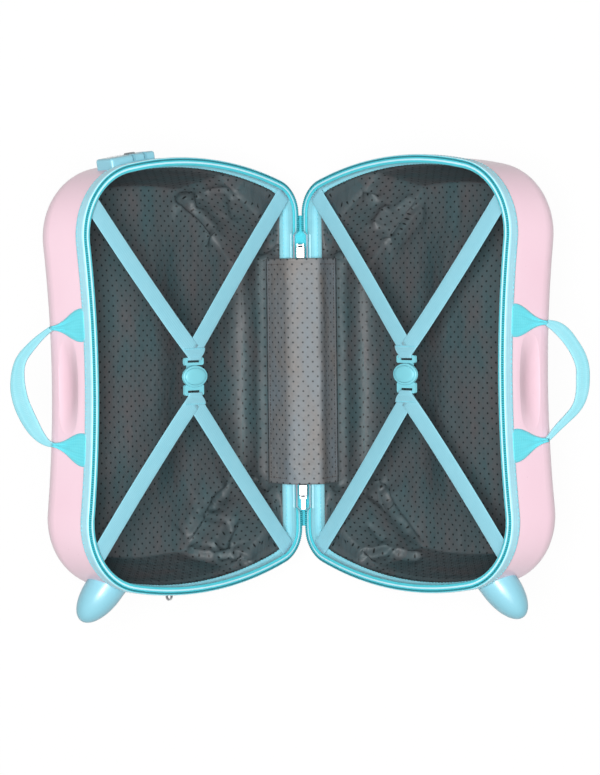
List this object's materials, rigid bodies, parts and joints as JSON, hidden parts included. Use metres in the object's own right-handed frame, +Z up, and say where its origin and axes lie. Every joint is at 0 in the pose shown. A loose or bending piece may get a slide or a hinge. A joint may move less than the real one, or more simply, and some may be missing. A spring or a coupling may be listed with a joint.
{
  "type": "ride-on suitcase",
  "caption": "Children's ride-on suitcase standing open: two rounded pink shells on a cloth hinge, with dotted lining, cross straps, horns, webbing handles, lock and wheels.",
  "frame": {"origin": "on the floor under the middle of the open case: centre of the bounding box in X and Y, floor at Z 0", "axes": "+X across the two open halves to the right, +Y towards the rear end with the lock, +Z up"},
  "size_m": [0.63, 0.513, 0.3068],
  "materials": {
    "pink_shell": "glossy moulded shell",
    "aqua_webbing": "woven webbing",
    "aqua_binding": "woven zip tape and binding",
    "teal_teeth": "moulded zip teeth",
    "grey_lining": "satin lining with small dark dots",
    "aqua_plastic": "smooth moulded plastic",
    "clip_plastic": "moulded plastic",
    "steel": "plated steel",
    "slider_metal": "bright plated zinc",
    "grey_plastic": "moulded plastic",
    "tyre_rubber": "soft tread",
    "dial_plastic": "moulded plastic"
  },
  "bodies": {
    "left_half": {"left_shell": "pink_shell", "left_binding": "aqua_binding", "left_zip_teeth": "teal_teeth", "left_lining": "grey_lining", "left_hinge_cloth": "grey_lining", "left_rear_straps": "aqua_webbing", "left_front_straps": "aqua_webbing", "left_clip_socket": "clip_plastic", "left_clip_plug": "clip_plastic", "left_handle_tabs": "aqua_webbing", "left_horn": "aqua_plastic", "left_screws": "steel", "left_rear_bracket": "grey_plastic", "left_rear_axle": "steel", "left_caster_plate": "grey_plastic", "left_caster_stem": "steel", "lock_body": "aqua_plastic", "lock_shaft": "steel", "tow_eye": "steel", "rear_zip_slider": "slider_metal", "front_zip_slider": "slider_metal"},
    "right_half": {"right_shell": "pink_shell", "right_binding": "aqua_binding", "right_zip_teeth": "teal_teeth", "right_lining": "grey_lining", "right_hinge_cloth": "grey_lining", "right_rear_straps": "aqua_webbing", "right_front_straps": "aqua_webbing", "right_clip_socket": "clip_plastic", "right_clip_plug": "clip_plastic", "right_handle_tabs": "aqua_webbing", "right_horn": "aqua_plastic", "right_screws": "steel", "right_rear_bracket": "grey_plastic", "right_rear_axle": "steel", "right_caster_plate": "grey_plastic", "right_caster_stem": "steel"},
    "left_handle": {"left_handle_grip": "aqua_webbing"},
    "left_clip_button": {"left_clip_button": "clip_plastic"},
    "left_rear_wheel": {"left_rear_hub": "aqua_plastic", "left_rear_tyre": "tyre_rubber"},
    "left_caster": {"left_caster_fork": "grey_plastic", "left_caster_axle": "steel"},
    "left_caster_wheel": {"left_caster_hub": "aqua_plastic", "left_caster_tyre": "tyre_rubber"},
    "right_handle": {"right_handle_grip": "aqua_webbing"},
    "right_clip_button": {"right_clip_button": "clip_plastic"},
    "right_rear_wheel": {"right_rear_hub": "aqua_plastic", "right_rear_tyre": "tyre_rubber"},
    "right_caster": {"right_caster_fork": "grey_plastic", "right_caster_axle": "steel"},
    "right_caster_wheel": {"right_caster_hub": "aqua_plastic", "right_caster_tyre": "tyre_rubber"},
    "lock_dial_1": {"lock_dial_1": "dial_plastic"},
    "lock_dial_2": {"lock_dial_2": "dial_plastic"},
    "lock_dial_3": {"lock_dial_3": "dial_plastic"},
    "lock_catch": {"lock_catch": "grey_plastic"},
    "rear_zip_pull": {"rear_zip_pull": "slider_metal"},
    "front_zip_pull": {"front_zip_pull": "slider_metal"}
  },
  "joints": [
    {"name": "lid_hinge", "type": "hinge", "parent": "left_half", "child": "right_half", "pos_m": [0, 0, 0.08532], "axis": [0, -1, 0], "range_deg": [0, 90]},
    {"name": "left_handle_fold", "type": "hinge", "parent": "left_half", "child": "left_handle", "pos_m": [-0.26739, 0.00159, 0.25541], "axis": [0, 1, 0], "range_deg": [-20, 65]},
    {"name": "left_clip_press", "type": "slide", "parent": "left_half", "child": "left_clip_button", "axis": [-0.7071, 0, -0.7071], "range_m": [0, 0.0015], "stiffness_N_per_m": 400},
    {"name": "left_rear_wheel_spin", "type": "hinge", "parent": "left_half", "child": "left_rear_wheel", "pos_m": [-0.02899, 0.15859, 0.01956], "axis": [-0.7071, 0, -0.7071], "continuous": true},
    {"name": "left_caster_swivel", "type": "hinge", "parent": "left_half", "child": "left_caster", "pos_m": [-0.04356, -0.14141, 0.03129], "axis": [-0.7071, 0, 0.7071], "continuous": true},
    {"name": "left_caster_wheel_spin", "type": "hinge", "parent": "left_caster", "child": "left_caster_wheel", "pos_m": [-0.02828, -0.13041, 0.01602], "axis": [-0.7071, 0, -0.7071], "continuous": true},
    {"name": "right_handle_fold", "type": "hinge", "parent": "right_half", "child": "right_handle", "pos_m": [0.26739, 0.00159, 0.25541], "axis": [0, -1, 0], "range_deg": [-20, 65]},
    {"name": "right_clip_press", "type": "slide", "parent": "right_half", "child": "right_clip_button", "axis": [0.7071, 0, -0.7071], "range_m": [0, 0.0015], "stiffness_N_per_m": 400},
    {"name": "right_rear_wheel_spin", "type": "hinge", "parent": "right_half", "child": "right_rear_wheel", "pos_m": [0.02899, 0.15859, 0.01956], "axis": [0.7071, 0, -0.7071], "continuous": true},
    {"name": "right_caster_swivel", "type": "hinge", "parent": "right_half", "child": "right_caster", "pos_m": [0.04356, -0.14141, 0.03129], "axis": [0.7071, 0, 0.7071], "continuous": true},
    {"name": "right_caster_wheel_spin", "type": "hinge", "parent": "right_caster", "child": "right_caster_wheel", "pos_m": [0.02828, -0.13041, 0.01602], "axis": [0.7071, 0, -0.7071], "continuous": true},
    {"name": "lock_dial_1_turn", "type": "hinge", "parent": "left_half", "child": "lock_dial_1", "pos_m": [-0.19199, 0.24658, 0.23771], "axis": [-0.6959, -0.1769, 0.6959], "continuous": true},
    {"name": "lock_dial_2_turn", "type": "hinge", "parent": "left_half", "child": "lock_dial_2", "pos_m": [-0.19686, 0.24535, 0.24258], "axis": [-0.6959, -0.1769, 0.6959], "continuous": true},
    {"name": "lock_dial_3_turn", "type": "hinge", "parent": "left_half", "child": "lock_dial_3", "pos_m": [-0.20173, 0.24411, 0.24745], "axis": [-0.6959, -0.1769, 0.6959], "continuous": true},
    {"name": "lock_catch_slide", "type": "slide", "parent": "left_half", "child": "lock_catch", "axis": [-0.6959, -0.1769, 0.6959], "range_m": [0, 0.004], "stiffness_N_per_m": 120},
    {"name": "rear_zip_pull_swing", "type": "hinge", "parent": "left_half", "child": "rear_zip_pull", "pos_m": [0, 0.15489, 0.08952], "axis": [1, 0, 0], "range_deg": [0, 90]},
    {"name": "front_zip_pull_swing", "type": "hinge", "parent": "left_half", "child": "front_zip_pull", "pos_m": [0, -0.13771, 0.08952], "axis": [1, 0, 0], "range_deg": [0, 100]}
  ]
}
